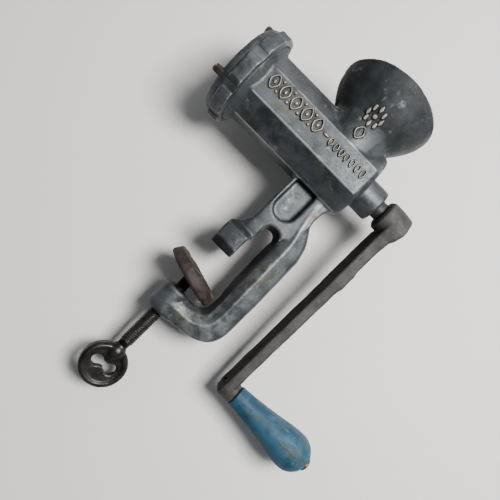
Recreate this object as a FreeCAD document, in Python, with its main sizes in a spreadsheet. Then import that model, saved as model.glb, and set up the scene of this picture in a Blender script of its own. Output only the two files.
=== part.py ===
import FreeCAD, Part
import Sketcher
import math
import os

# Clamp-on hand mincer: cast body with barrel, hopper and table clamp, feed screw,
# knife and plate held by a ring nut, crank with a turned wooden grip, clamp screw with
# a swivelling pad.
# Frame, millimetres: the origin is the middle of the jaw's seat, where it stands on the
# table top, on the clamp screw's axis. +X runs along the barrel towards the crank,
# +Z is up, the jaw opens downwards, the crank hangs straight down.

V = FreeCAD.Vector
doc = FreeCAD.newDocument("hand_mincer")
sheet = doc.addObject("Spreadsheet::Sheet", "sizes")

TABLE = {
    # barrel
    "barrel_axis": 100.0, "barrel_front": -65.8, "barrel_rear": 41.0, "barrel_flat": 26.8,
    "bore_rad": 23.2, "bore_end": 36.0,
    "collar_rad": 33.3, "collar_front": -77.8, "chamber_rad": 31.15, "chamber_end": -67.5,
    "boss_rad": 13.0, "boss_end": 57.6, "bearing_rad": 7.05,
    # hopper
    "mouth_x": 11.0, "mouth_rad": 39.1, "mouth_height": 157.5, "mouth_tilt": 15.0, "wall": 3.0,
    # bracket
    "leg_half_depth": 9.5, "leg_left": 0.7, "leg_right": 32.6, "web_half_depth": 3.4,
    "foot_half_width": 9.2, "foot_half_depth": 18.0, "foot_top": 27.0,
    "gap_left": 11.2, "gap_right": 21.6, "gap_top": 33.7,
    "eye_rad": 11.2, "eye_top": -40.5, "eye_bottom": -61.7, "eye_bore": 5.2,
    # ring nut
    "ring_front": -82.4, "ring_rear": -65.5, "ring_inner": 33.6, "ring_rad": 36.7,
    "ring_pad_rad": 38.1, "ring_mouth": 28.5,
    # plate, knife, stud
    "plate_rad": 31.0, "plate_front": -78.4, "plate_thick": 4.5, "plate_hole": 2.4,
    "journal_rad": 4.0, "knife_thick": 6.0, "knife_reach": 27.5, "knife_square": 9.5,
    "stud_nose": -80.6,
    # feed screw
    "core_front_rad": 11.5, "core_rear_rad": 9.0, "flight_rad": 22.8, "flight_pitch": 31.0,
    "shank_rad": 7.0, "shank_end": 62.8, "square_side": 10.4, "square_end": 76.0,
    "washer_rad": 15.0, "washer_thick": 1.2,
    # crank
    "hub_rad": 12.3, "hub_start": 62.9, "hub_face": 71.6, "crank_left": 70.4, "crank_thick": 8.0,
    "crank_radius": 165.0, "crank_top_half": 9.2, "crank_low_half": 7.6, "knob_rad": 7.6,
    "knob_end": 80.6,
    # grip
    "grip_start": 81.1, "grip_end": 150.5, "grip_bore": 3.05, "spindle_rad": 3.0,
    # clamp screw and pad
    "thread_rad": 5.0, "thread_root": 4.15, "thread_pitch": 1.6, "thread_top": -38.0,
    "thread_low": -93.0, "head_height": -115.1, "head_rad": 17.1, "head_half": 4.0,
    "pad_height": -28.0, "pad_rad": 23.4, "pad_tilt": 15.0,
}
for row, (key, number) in enumerate(TABLE.items(), start=1):
    sheet.set("A%d" % row, key)
    sheet.set("B%d" % row, repr(number))
    sheet.setAlias("B%d" % row, key)
doc.recompute()


class Size:
    """A size of the sheet, or a sum or product of sizes: its number and its expression."""

    def __init__(self, number, text):
        self.number, self.text = number, text

    def __add__(self, other):
        other = size(other)
        return Size(self.number + other.number, "(%s + %s)" % (self.text, other.text))

    def __sub__(self, other):
        other = size(other)
        return Size(self.number - other.number, "(%s - %s)" % (self.text, other.text))

    def __mul__(self, other):
        other = size(other)
        return Size(self.number * other.number, "(%s * %s)" % (self.text, other.text))

    def __neg__(self):
        return Size(-self.number, "(0 - %s)" % self.text)

    def __radd__(self, other):
        return size(other) + self

    def __rsub__(self, other):
        return size(other) - self

    def __rmul__(self, other):
        return size(other) * self


def size(value):
    if isinstance(value, Size):
        return value
    value = float(value)
    return Size(value, "(0 - %r)" % -value if value < 0 else "%r" % value)


def S(alias):
    return Size(float(sheet.get(alias)), "sizes.%s" % alias)


def bind(obj, prop, value):
    obj.setExpression(prop, size(value).text)


def place(obj, base, rotation=None):
    """Puts a primitive at a base whose three coordinates are sheet expressions."""
    base = [size(b) for b in base]
    obj.Placement = FreeCAD.Placement(V(*[b.number for b in base]), rotation or FreeCAD.Rotation())
    for letter, b in zip("xyz", base):
        obj.setExpression("Placement.Base.%s" % letter, b.text)


TO_X = FreeCAD.Rotation(V(0, 1, 0), 90)
TO_Y = FreeCAD.Rotation(V(1, 0, 0), -90)


def cylinder(name, radius, start, end, axis="x", at=(0, 0)):
    """A cylinder along an axis from start to end; at is its place on the other two axes."""
    c = doc.addObject("Part::Cylinder", name)
    bind(c, "Radius", radius)
    bind(c, "Height", size(end) - start)
    if axis == "x":
        place(c, (start, at[0], at[1]), TO_X)
    elif axis == "y":
        place(c, (at[0], start, at[1]), TO_Y)
    else:
        place(c, (at[0], at[1], start))
    return c


def cone(name, radius1, radius2, start, end, axis="x", at=(0, 0)):
    c = doc.addObject("Part::Cone", name)
    bind(c, "Radius1", radius1)
    bind(c, "Radius2", radius2)
    bind(c, "Height", size(end) - start)
    if axis == "x":
        place(c, (start, at[0], at[1]), TO_X)
    else:
        place(c, (at[0], at[1], start))
    return c


def block(name, low, high):
    b = doc.addObject("Part::Box", name)
    low, high = [size(v) for v in low], [size(v) for v in high]
    for prop, a, z in zip(("Length", "Width", "Height"), low, high):
        bind(b, prop, z - a)
    place(b, low)
    return b


def cut(name, base, tool):
    c = doc.addObject("Part::Cut", name)
    c.Base, c.Tool = base, tool
    return c


def fuse(name, shapes):
    f = doc.addObject("Part::MultiFuse", name)
    f.Shapes = shapes
    return f


def feature(name, shape):
    f = doc.addObject("Part::Feature", name)
    f.Shape = shape
    return f


def plane_of(body, role):
    return [f for f in body.Origin.OriginFeatures if f.Role == role][0]


def outline(body, name, role, points, offset=None):
    """A closed sketch of straight edges whose corners are bound to the sheet."""
    sk = body.newObject("Sketcher::SketchObject", name)
    sk.AttachmentSupport = [(plane_of(body, role), "")]
    sk.MapMode = "FlatFace"
    pts = [(size(a), size(b)) for a, b in points]
    n = len(pts)
    for i in range(n):
        a, b = pts[i], pts[(i + 1) % n]
        sk.addGeometry(Part.LineSegment(V(a[0].number, a[1].number, 0), V(b[0].number, b[1].number, 0)), False)
    for i in range(n):
        sk.addConstraint(Sketcher.Constraint("Coincident", i, 2, (i + 1) % n, 1))
    for i, (a, b) in enumerate(pts):
        for kind, v in (("DistanceX", a), ("DistanceY", b)):
            if abs(v.number) < 1e-9 and v.text in ("0.0", "0"):
                k = sk.addConstraint(Sketcher.Constraint("PointOnObject", i, 1, -2 if kind == "DistanceX" else -1))
            else:
                k = sk.addConstraint(Sketcher.Constraint(kind, -1, 1, i, 1, v.number))
                sk.setExpression("Constraints[%d]" % k, v.text)
    if offset is not None:
        offset = size(offset)
        sk.AttachmentOffset = FreeCAD.Placement(V(0, 0, offset.number), FreeCAD.Rotation())
        sk.setExpression("AttachmentOffset.Base.z", offset.text)
    return sk


def part_body(name):
    return doc.addObject("PartDesign::Body", name)


def pad(body, name, sketch, length, midplane=False):
    p = body.newObject("PartDesign::Pad", name)
    p.Profile = sketch
    bind(p, "Length", length)
    if midplane:
        p.Midplane = True
    sketch.Visibility = False
    return p


def turned(body, name, sketch, axis):
    """Revolves a sketch about the body's own axis of that role."""
    r = body.newObject("PartDesign::Revolution", name)
    r.Profile = sketch
    r.ReferenceAxis = (plane_of(body, axis), [""])
    r.Angle = 360.0
    return r


def lathe_x(name, profile, height):
    """A turned piece about a line along X at a given height: profile is (x, radius)."""
    body = part_body(name)
    sk = outline(body, name + "_outline", "XZ_Plane", profile)
    turned(body, name + "_turned", sk, "X_Axis")
    place(body, (0, 0, height))
    return body


def lathe_z(name, profile, height=0.0):
    """A turned piece about the Z axis: profile is (radius, z)."""
    body = part_body(name)
    sk = outline(body, name + "_outline", "XZ_Plane", profile)
    turned(body, name + "_turned", sk, "Z_Axis")
    place(body, (0, 0, height))
    return body


def ring_wire(x, y, z, radius, tilt):
    """A circle about a nearly vertical axis that leans by tilt towards +Y."""
    a = math.radians(tilt)
    return Part.Wire([Part.Circle(V(x, y, z), V(0, math.sin(a), math.cos(a)), radius).toShape()])


AXIS = S("barrel_axis")
axis_z = AXIS.number

# ------------------------------------------------------------------ body casting
# Barrel: a regular octagon with a flat on top, on each side and underneath.
octagon = doc.addObject("Part::Prism", "barrel_octagon")
octagon.Polygon = 8
bind(octagon, "Circumradius", S("barrel_flat") * (1 / math.cos(math.radians(22.5))))
bind(octagon, "Height", S("barrel_rear") - S("barrel_front"))
place(octagon, (S("barrel_front"), 0, AXIS), TO_X.multiply(FreeCAD.Rotation(V(0, 0, 1), 22.5)))
doc.recompute()
edges = []
for number, edge in enumerate(octagon.Shape.Edges, start=1):
    xs = [v.Point.x for v in edge.Vertexes]
    if min(xs) > S("barrel_rear").number - 0.01:
        edges.append((number, 5.5, 5.5))
    elif max(xs) - min(xs) > 50:
        edges.append((number, 1.2, 1.2))
rounded = doc.addObject("Part::Fillet", "barrel_rounded")
rounded.Base = octagon
rounded.Edges = edges

collar = cylinder("collar", S("collar_rad"), S("collar_front"), S("barrel_front") + 0.6, "x", (0, AXIS))
flare = cone("collar_flare", S("collar_rad") - 0.2, S("barrel_flat") + 0.2, S("barrel_front") + 0.5,
             S("barrel_front") + 5.4, "x", (0, AXIS))
boss = cylinder("rear_boss", S("boss_rad"), S("barrel_rear") - 6.0, S("boss_end"), "x", (0, AXIS))
boss_soft = doc.addObject("Part::Fillet", "rear_boss_rounded")
boss_soft.Base = boss
doc.recompute()
boss_soft.Edges = [(n, 2.2, 2.2) for n, e in enumerate(boss.Shape.Edges, start=1)
                   if abs(e.CenterOfMass.x - S("boss_end").number) < 0.01 and e.Closed]

# Hopper: circles that widen upwards and lean towards +Y, so that its near side is higher.
mx, mr, mh, mt = (S(k).number for k in ("mouth_x", "mouth_rad", "mouth_height", "mouth_tilt"))
wall = S("wall").number
SECTIONS = [  # height, radius, lean as a part of the mouth's, shift towards +Y
    (110.0, 14.2, 0.0, 0.0), (120.5, 19.6, 0.1, 0.0), (130.0, 25.6, 0.33, 0.3),
    (140.5, 32.5, 0.66, 1.4), (149.5, 37.2, 0.88, 3.0), (mh, mr, 1.0, 4.4)]
outer = Part.makeLoft([ring_wire(mx, s, z, r, mt * t) for z, r, t, s in SECTIONS], True, False)
INNER = [(96.0, 11.5, 0.0, 0.0)] + [
    (z, r - wall, t, s) for z, r, t, s in SECTIONS[1:-1]] + [(mh + 1.0, mr - wall + 0.6, 1.0, 4.7)]
inner = Part.makeLoft([ring_wire(mx, s, z, r, mt * t) for z, r, t, s in INNER], True, False)
lean = math.radians(mt)
rim = Part.makeTorus(mr - 1.5, 1.9, V(mx, 4.4, mh), V(0, math.sin(lean), math.cos(lean)))
hopper = feature("hopper_outside", outer)
hopper_rim = feature("hopper_rim", rim)
hopper_hollow = feature("hopper_hollow", inner)

# The hopper's neck runs down over the barrel's sloping panels, in front and behind, as a
# wedge with a flat face and two sloping cheeks.
flat = S("barrel_flat").number
NECK = [  # height, half width of the face, how far out its middle is, half width at the cheeks, how far out those are
    (axis_z + 0.40 * flat, 11.8, flat - 0.1, 12.4, flat - 1.6), (117.6, 12.6, 26.4, 17.2, 19.6),
    (124.5, 13.6, 26.1, 22.4, 12.6), (131.5, 15.2, 26.0, 25.4, 6.4)]
cheeks = []
for side in (-1.0, 1.0):
    rings = []
    for z, a, yf, b, yc in NECK:
        sag = a * a / 52.0
        face = [V(mx + a * t, side * (yf - sag * t * t), z) for t in (-1.0, -0.66, -0.33, 0.0, 0.33, 0.66, 1.0)]
        pts = face + [V(mx + b, side * yc, z), V(mx + b, 0, z), V(mx - b, 0, z), V(mx - b, side * yc, z)]
        rings.append(Part.makePolygon(pts + [pts[0]]))
    cheeks.append(feature("hopper_cheek_%s" % ("front" if side < 0 else "back"), Part.makeLoft(rings, True, True)))

# Bracket: a ribbed web under the barrel, a left member that carries the jaw's foot, and a
# C arm with a ridge down its front and back that comes round to the screw's eye.
web_body = part_body("bracket_plate")
sk = outline(web_body, "plate_outline", "XZ_Plane", [
    (S("leg_left"), 84.0), (S("leg_right") + 5.4, 84.0), (S("leg_right") + 3.0, 73.5),
    (S("leg_right") + 0.6, 67.0), (S("leg_right"), 60.0), (S("leg_right") + 1.5, 54.0), (30.0, 40.0),
    (24.0, 30.0), (S("gap_left"), 30.0), (S("gap_left"), 24.0), (S("leg_left"), 24.0)])
pad(web_body, "plate_pad", sk, S("leg_half_depth") * 2.0, True)

pocket_tools = []
for side, sign in (("front", -1), ("back", 1)):
    d0, d1 = S("web_half_depth"), S("leg_half_depth") + 5.0
    y0, y1 = (d0, d1) if sign > 0 else (-d1, -d0)
    pocket_tools.append(block("pocket_%s_block" % side, (S("leg_left") + 2.8, y0, 52.0), (22.0, y1, 90.0)))
    pocket_tools.append(cylinder("pocket_%s_end" % side, 9.25, y0, y1, "y", (12.75, 52.2)))
pockets = fuse("pockets", pocket_tools)
web_cut = cut("web", web_body, pockets)


def arm_section(inner_pt, outer_pt, half, ridge, side_half, draft=1.7, inner_draft=4.2):
    """An eight-cornered section across the arm: slanting sides, sloping faces up to a ridge."""
    a, b = V(inner_pt[0], 0, inner_pt[1]), V(outer_pt[0], 0, outer_pt[1])
    along = (b - a)
    width = along.Length
    along.normalize()
    mid = a + along * (width * ridge)
    p = [a, a + along * inner_draft + V(0, -side_half, 0), mid + V(0, -half, 0),
         b - along * draft + V(0, -side_half, 0), b, b - along * draft + V(0, side_half, 0),
         mid + V(0, half, 0), a + along * inner_draft + V(0, side_half, 0)]
    return Part.makePolygon(p + [p[0]])


ARM = [  # inner point, outer point, depth at the ridge, where the ridge is, depth at the sides
    ((22.0, 82.0), (34.6, 82.0), 9.6, 0.5, 8.6),
    ((22.0, 70.0), (32.8, 70.0), 9.6, 0.5, 8.4),
    ((22.0, 60.0), (32.4, 60.5), 9.8, 0.5, 8.0),
    ((21.8, 49.5), (37.2, 52.0), 10.2, 0.5, 7.2),
    ((21.6, 38.5), (42.8, 43.0), 10.6, 0.5, 6.6),
    ((21.6, 28.0), (45.8, 31.5), 10.8, 0.49, 6.4),
    ((21.6, 10.0), (46.5, 10.5), 10.8, 0.49, 6.4),
    ((22.0, -10.0), (46.9, -10.5), 10.8, 0.49, 6.4),
    ((23.9, -26.5), (46.9, -31.0), 10.8, 0.47, 6.4),
    ((23.3, -34.0), (46.0, -43.5), 10.8, 0.47, 6.6),
    ((20.4, -38.8), (41.2, -53.0), 10.8, 0.48, 6.8),
    ((14.5, -40.6), (31.0, -58.8), 10.8, 0.5, 7.2),
    ((8.0, -40.6), (16.5, -61.2), 10.9, 0.5, 8.0),
    ((1.0, -40.7), (2.0, -62.0), 10.9, 0.5, 9.0),
]


def finer(stations, steps):
    """Stations along a smooth curve through the given ones."""
    flat_rows = [[*a, *b, h, r, s] for a, b, h, r, s in stations]
    out = []
    for i in range(len(flat_rows) - 1):
        p0, p1 = flat_rows[max(i - 1, 0)], flat_rows[i]
        p2, p3 = flat_rows[i + 1], flat_rows[min(i + 2, len(flat_rows) - 1)]
        for k in range(steps):
            t = k / steps
            row = [0.5 * (2 * b + (c - a) * t + (2 * a - 5 * b + 4 * c - d) * t * t + (3 * b - a - 3 * c + d) * t ** 3)
                   for a, b, c, d in zip(p0, p1, p2, p3)]
            out.append(((row[0], row[1]), (row[2], row[3]), row[4], row[5], row[6]))
    out.append(stations[-1])
    return out


stations = finer(ARM[:6], 3)[:-1] + ARM[5:8] + finer(ARM[8:], 3)
arm = feature("clamp_arm", Part.makeLoft([arm_section(*a) for a in stations], True, True))
eye_solid = cylinder("screw_eye", S("eye_rad"), S("eye_bottom"), S("eye_top"), "z")
eye = doc.addObject("Part::Fillet", "screw_eye_rounded")
eye.Base = eye_solid
doc.recompute()
eye.Edges = [(n, 1.6, 1.6) for n, e in enumerate(eye_solid.Shape.Edges, start=1) if e.Closed]

foot_body = part_body("jaw_foot")
fh = S("foot_half_depth")
sk = outline(foot_body, "foot_outline", "YZ_Plane", [
    (-(fh - 7.0), 0.0), (-fh, 5.8), (-fh, 18.0), (-(fh - 4.0), 20.6), (-(fh - 9.5), 22.0),
    (-(fh - 9.5), S("foot_top") + 3.0), ((fh - 9.5), S("foot_top") + 3.0), ((fh - 9.5), 22.0),
    ((fh - 4.0), 20.6), (fh, 18.0), (fh, 5.8), ((fh - 7.0), 0.0)])
pad(foot_body, "foot_pad", sk, S("foot_half_width") * 2.0, True)
doc.recompute()
foot = doc.addObject("Part::Fillet", "jaw_foot_rounded")
foot.Base = foot_body
foot_edges = []
for number, edge in enumerate(foot_body.Shape.Edges, start=1):
    c = edge.CenterOfMass
    if abs(abs(c.x) - S("foot_half_width").number) < 0.01 and 0.5 < c.z < 21.5:
        foot_edges.append((number, 1.6, 1.6))
foot.Edges = foot_edges
slope_body = part_body("foot_slope")
sk = outline(slope_body, "slope_outline", "XZ_Plane", [(-12.0, 34.0), (-12.0, 19.6), (-8.4, 20.6), (-3.4, 24.0), (S("leg_left"), 34.0)])
pad(slope_body, "slope_pad", sk, 44.0, True)
foot = cut("jaw_foot_sloped", foot, slope_body)
neck = block("foot_neck", (S("leg_left"), -9.0, 20.0), (S("gap_left"), 9.0, 40.0))



def gap_wire(y, left, right, top, low=-20.0):
    """The gap's outline at one depth: straight sides under a round arch."""
    r = (right - left) * 0.5
    arc = [V(left + r - r * math.cos(math.pi * k / 14), y, top - r + r * math.sin(math.pi * k / 14)) for k in range(15)]
    pts = [V(left, y, low)] + arc + [V(right, y, low)]
    return Part.makePolygon(pts + [pts[0]])


# The gap is narrowest at mid depth, where the two halves of the mould met.
gl, gr, gt = S("gap_left").number, S("gap_right").number, S("gap_top").number
gap_tools = [feature("gap_space_%s" % name, Part.makeLoft([gap_wire(0.0, gl, gr, gt), gap_wire(y, gl - 0.2, gr + 5.4, gt + 5.4)], True, True))
             for name, y in (("front", -14.0), ("back", 14.0))]
gap = fuse("gap_space", gap_tools)

solid = fuse("casting_solid", [rounded, collar, flare, boss_soft, hopper, hopper_rim, *cheeks, web_cut, arm,
                               eye, foot, neck])
hollows = fuse("casting_hollows", [
    cylinder("bore", S("bore_rad"), S("chamber_end") - 1.0, S("bore_end"), "x", (0, AXIS)),
    cylinder("chamber", S("chamber_rad"), S("collar_front") - 1.0, S("chamber_end"), "x", (0, AXIS)),
    cylinder("bearing", S("bearing_rad"), S("bore_end") - 1.0, S("boss_end") + 1.0, "x", (0, AXIS)),
    cylinder("eye_bore_tool", S("eye_bore"), S("eye_bottom") - 1.0, S("eye_top") + 1.0, "z"),
    cylinder("peg_hole", 1.5, AXIS - 34.0, AXIS - 28.0, "z", (S("plate_front") + 2.6, 0)),
    hopper_hollow, gap])
body_casting = cut("body_casting", solid, hollows)

# ------------------------------------------------------------------ ring nut
ring_base = lathe_x("ring_blank", [
    (S("ring_rear"), S("ring_inner")), (S("ring_rear"), S("ring_rad") - 0.8),
    (S("ring_rear") - 0.8, S("ring_rad")), (S("ring_front") + 6.6, S("ring_rad")),
    (S("ring_front") + 4.2, S("ring_rad") - 0.6), (S("ring_front") + 1.9, S("ring_rad") - 1.8),
    (S("ring_front") + 0.6, S("ring_rad") - 3.1), (S("ring_front"), S("ring_rad") - 4.8),
    (S("ring_front"), S("ring_mouth") + 1.0), (S("ring_front") + 1.0, S("ring_mouth")),
    (S("plate_front"), S("ring_mouth")), (S("plate_front"), S("ring_inner"))], AXIS)
lug = part_body("ring_lug")
half, half_top = math.tan(math.radians(17.0)), math.tan(math.radians(12.0))
sk = outline(lug, "lug_outline", "YZ_Plane", [
    (-(S("ring_pad_rad") * half_top), S("ring_pad_rad")), (S("ring_pad_rad") * half_top, S("ring_pad_rad")),
    (S("ring_rad") * half, S("ring_rad") - 0.9), (-(S("ring_rad") * half), S("ring_rad") - 0.9)],
    offset=S("ring_rear") - 10.4)
pad(lug, "lug_pad", sk, 9.8)
doc.recompute()
lug_shape = lug.Shape.copy()
lug_edges = [e for e in lug_shape.Edges if abs(e.CenterOfMass.z - S("ring_pad_rad").number) < 0.01]
lug_shape = lug_shape.makeFillet(0.7, lug_edges)
lug_round = feature("ring_lug_rounded", lug_shape)
lugs = doc.addObject("Part::MultiFuse", "ring_lugs")
copies = []
for k in range(8):
    c = lug_shape.copy()
    c.rotate(V(0, 0, 0), V(1, 0, 0), 45.0 * k + 11.5)
    c.translate(V(0, 0, axis_z))
    copies.append(feature("ring_lug_%d" % (k + 1), c))
lugs.Shapes = copies
horn = block("front_lug", (S("ring_front") - 5.8, -2.7, 29.7), (S("ring_front") + 4.0, 2.7, 35.6))
doc.recompute()
horn_soft = doc.addObject("Part::Fillet", "front_lug_rounded")
horn_soft.Base = horn
horn_soft.Edges = [(n, 1.3, 1.3) for n, e in enumerate(horn.Shape.Edges, start=1)
                   if e.CenterOfMass.x < S("ring_front").number + 3.9]
doc.recompute()
horns = []
for k in range(3):
    c = horn_soft.Shape.copy()
    c.rotate(V(0, 0, 0), V(1, 0, 0), 120.0 * k + 3.0)
    c.translate(V(0, 0, axis_z))
    horns.append(feature("front_lug_%d" % (k + 1), c))
ring_nut = fuse("ring_nut", [ring_base, lugs] + horns)

# ------------------------------------------------------------------ cutting plate
plate_body = part_body("cutting_plate")
sk = plate_body.newObject("Sketcher::SketchObject", "plate_circle")
sk.AttachmentSupport = [(plane_of(plate_body, "YZ_Plane"), "")]
sk.MapMode = "FlatFace"
sk.addGeometry(Part.Circle(V(0, 0, 0), V(0, 0, 1), S("plate_rad").number), False)
sk.addConstraint(Sketcher.Constraint("Coincident", 0, 3, -1, 1))
k = sk.addConstraint(Sketcher.Constraint("Radius", 0, S("plate_rad").number))
sk.setExpression("Constraints[%d]" % k, S("plate_rad").text)
sk.addGeometry(Part.Circle(V(0, 0, 0), V(0, 0, 1), S("journal_rad").number + 0.05), False)
sk.addConstraint(Sketcher.Constraint("Coincident", 1, 3, -1, 1))
k = sk.addConstraint(Sketcher.Constraint("Radius", 1, S("journal_rad").number + 0.05))
sk.setExpression("Constraints[%d]" % k, (S("journal_rad") + 0.05).text)
pad(plate_body, "plate_disc", sk, S("plate_thick"))
doc.recompute()
tip = plate_body.Tip
for row, (radius, count) in enumerate(((11.0, 9), (17.4, 15), (23.6, 20)), start=1):
    hs = plate_body.newObject("Sketcher::SketchObject", "hole_row_%d_circle" % row)
    hs.AttachmentSupport = [(plane_of(plate_body, "YZ_Plane"), "")]
    hs.MapMode = "FlatFace"
    hs.addGeometry(Part.Circle(V(0, radius, 0), V(0, 0, 1), S("plate_hole").number), False)
    k = hs.addConstraint(Sketcher.Constraint("Radius", 0, S("plate_hole").number))
    hs.setExpression("Constraints[%d]" % k, S("plate_hole").text)
    hs.addConstraint(Sketcher.Constraint("PointOnObject", 0, 3, -2))
    hs.addConstraint(Sketcher.Constraint("DistanceY", -1, 1, 0, 3, radius))
    pk = plate_body.newObject("PartDesign::Pocket", "hole_row_%d" % row)
    pk.Profile = hs
    pk.Type = 1
    pk.Reversed = True
    doc.recompute()
    pp = plate_body.newObject("PartDesign::PolarPattern", "hole_row_%d_round" % row)
    pp.Originals = [pk]
    pp.Axis = (plane_of(plate_body, "X_Axis"), [""])
    pp.Angle = 360.0
    pp.Occurrences = count
    plate_body.Tip = pp
    doc.recompute()
notch = outline(plate_body, "key_notch_outline", "YZ_Plane", [(-1.75, -32.5), (1.75, -32.5), (1.75, -28.9), (-1.75, -28.9)])
nk = plate_body.newObject("PartDesign::Pocket", "key_notch")
nk.Profile = notch
nk.Type = 1
nk.Reversed = True
plate_body.Tip = nk
place(plate_body, (S("plate_front"), 0, AXIS))
cutting_plate = plate_body

plate_peg = cylinder("plate_peg", 1.5, AXIS - 33.1, AXIS - 29.3, "z", (S("plate_front") + 2.6, 0))

# ------------------------------------------------------------------ knife
knife_back = S("plate_front") + S("plate_thick") + S("knife_thick")
knife_blank = part_body("knife_blank")
sk = outline(knife_blank, "blade_outline", "YZ_Plane", [
    (-5.2, 0.0), (-4.6, 12.0), (-6.8, S("knife_reach") - 3.0), (-4.4, S("knife_reach")), (2.0, S("knife_reach")),
    (3.6, S("knife_reach") - 4.0), (4.4, 12.0), (5.4, 0.0)], offset=S("plate_front") + S("plate_thick"))
pad(knife_blank, "blade", sk, S("knife_thick"))
doc.recompute()
blades = []
for k in range(4):
    c = knife_blank.Shape.copy()
    c.rotate(V(0, 0, 0), V(1, 0, 0), 90.0 * k)
    c.translate(V(0, 0, axis_z))
    blades.append(feature("knife_blade_%d" % (k + 1), c))
knife_hub = cylinder("knife_hub", 10.5, S("plate_front") + S("plate_thick"), knife_back, "x", (0, AXIS))
half_sq = S("knife_square") * 0.5
knife_eye = block("knife_eye", (S("plate_front") + 3.0, -half_sq - 0.05, AXIS - half_sq - 0.05),
                  (knife_back + 1.5, half_sq + 0.05, AXIS + half_sq + 0.05))
cross_knife = cut("cross_knife", fuse("knife_solid", blades + [knife_hub]), knife_eye)

# ------------------------------------------------------------------ knife stud
stud_square = block("stud_square", (S("plate_front") + S("plate_thick") + 0.2, -half_sq, AXIS - half_sq),
                    (knife_back + 0.3, half_sq, AXIS + half_sq))
stud_journal = lathe_x("stud_journal", [
    (S("stud_nose"), 0.0), (S("stud_nose"), 2.4), (S("stud_nose") + 1.6, S("journal_rad")),
    (S("plate_front") + S("plate_thick") + 1.0, S("journal_rad")), (S("plate_front") + S("plate_thick") + 1.0, 0.0)], AXIS)
stud_shank = cylinder("stud_shank", 4.2, knife_back + 0.1, -51.0, "x", (0, AXIS))
knife_stud = fuse("knife_stud", [stud_square, stud_journal, stud_shank])

# ------------------------------------------------------------------ feed screw
screw_front = knife_back + 0.3
worm_start = knife_back.number + 1.5
flight_len = 34.0 - worm_start
helix = Part.makeHelix(S("flight_pitch").number, flight_len, 10.0)
prof = Part.makePolygon([V(8.0, 0, -2.9), V(S("flight_rad").number + 0.6, 0, -1.5),
                         V(S("flight_rad").number + 0.6, 0, 1.5), V(8.0, 0, 2.9), V(8.0, 0, -2.9)])
flight = Part.Wire(helix.Edges).makePipeShell([prof], True, True)
core = Part.makeCone(S("core_front_rad").number, S("core_rear_rad").number, flight_len + 3.0, V(0, 0, -1.5))
worm = core.fuse(flight).common(Part.makeCylinder(S("flight_rad").number, flight_len + 1.9, V(0, 0, -1.2)))
worm.Placement = FreeCAD.Placement(V(worm_start, 0, axis_z), TO_X)
worm_blank = feature("worm_blank", worm)
shoulder = cylinder("screw_shoulder", 14.0, 31.0, S("bore_end") - S("washer_thick"), "x", (0, AXIS))
shank = cylinder("screw_shank", S("shank_rad"), 30.0, S("shank_end"), "x", (0, AXIS))
sq = S("square_side") * 0.5
drive = block("screw_square", (S("shank_end") - 0.5, -sq, AXIS - sq), (S("square_end"), sq, AXIS + sq))
nose_face = cylinder("screw_nose", S("core_front_rad"), screw_front, screw_front + 4.6, "x", (0, AXIS))
feed_solid = fuse("feed_solid", [worm_blank, nose_face, shoulder, shank, drive])
feed_screw = cut("feed_screw", feed_solid, cylinder("stud_socket", 4.2, screw_front - 1.0, -51.0, "x", (0, AXIS)))

thrust_washer = cut("thrust_washer",
                    cylinder("washer_disc", S("washer_rad"), S("bore_end") - S("washer_thick"), S("bore_end") - 0.05, "x", (0, AXIS)),
                    cylinder("washer_hole", S("shank_rad") + 0.15, S("bore_end") - 3.0, S("bore_end") + 1.0, "x", (0, AXIS)))

# ------------------------------------------------------------------ crank
cx, ct = S("crank_left").number, S("crank_thick").number
radius = S("crank_radius").number
end_z = axis_z - radius
th, lh, hr = S("crank_top_half").number, S("crank_low_half").number, S("hub_rad").number


def bar_section(z, x0, x1, half, draft):
    """A bar section with broken corners, its side towards the barrel drawn out by the draft at the back."""
    c = 1.3
    p = [V(x0 + c, -half, z), V(x1 - c, -half, z), V(x1, -half + c, z), V(x1, half - c, z),
         V(x1 - c, half, z), V(x0 - draft + c, half, z), V(x0 - draft, half - c, z), V(x0, -half + c, z)]
    return Part.makePolygon(p + [p[0]])


BAR = [  # height, left, right, half width, draft
    (axis_z + 2.0, cx + 0.4, cx + 13.8, hr - 0.4, 0.3), (axis_z - 4.0, cx + 0.3, cx + 13.9, hr - 0.4, 0.4),
    (axis_z - 9.5, cx + 0.2, cx + 12.2, 10.9, 1.0), (axis_z - 14.0, cx + 0.2, cx + 10.4, 9.7, 1.9),
    (axis_z - 24.0, cx + 0.2, cx + 9.6, th, 2.3), (58.0, cx + 0.1, cx + 9.3, th - 0.1, 2.3),
    (55.0, cx + 0.1, cx + 9.6, th - 0.1, 2.3), (52.5, cx + 0.1, cx + 10.4, th - 0.1, 2.3),
    (40.0, cx, cx + 10.3, th - 0.2, 2.3), (37.0, cx, cx + 9.4, th - 0.2, 2.3),
    (34.0, cx, cx + 9.0, th - 0.3, 2.3), (-5.0, cx - 0.5, cx + 8.2, th - 0.7, 2.3),
    (end_z + 10.0, cx - 1.0, cx + 7.4, lh + 0.2, 2.5), (end_z, cx - 1.2, cx + 7.3, lh, 2.6)]
bar = feature("crank_bar", Part.makeLoft([bar_section(*b) for b in BAR], True, True))
hub = lathe_x("crank_hub", [
    (S("hub_start"), 0.0), (S("hub_start"), S("hub_rad") - 2.4), (S("hub_start") + 2.4, S("hub_rad")),
    (S("hub_face") + 2.0, S("hub_rad")), (S("hub_face") + 10.6, S("hub_rad") - 0.9), (S("hub_face") + 12.2, S("hub_rad") - 2.6),
    (S("hub_face") + 12.7, S("hub_rad") - 5.6), (S("hub_face") + 12.7, 0.0)], AXIS)
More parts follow.
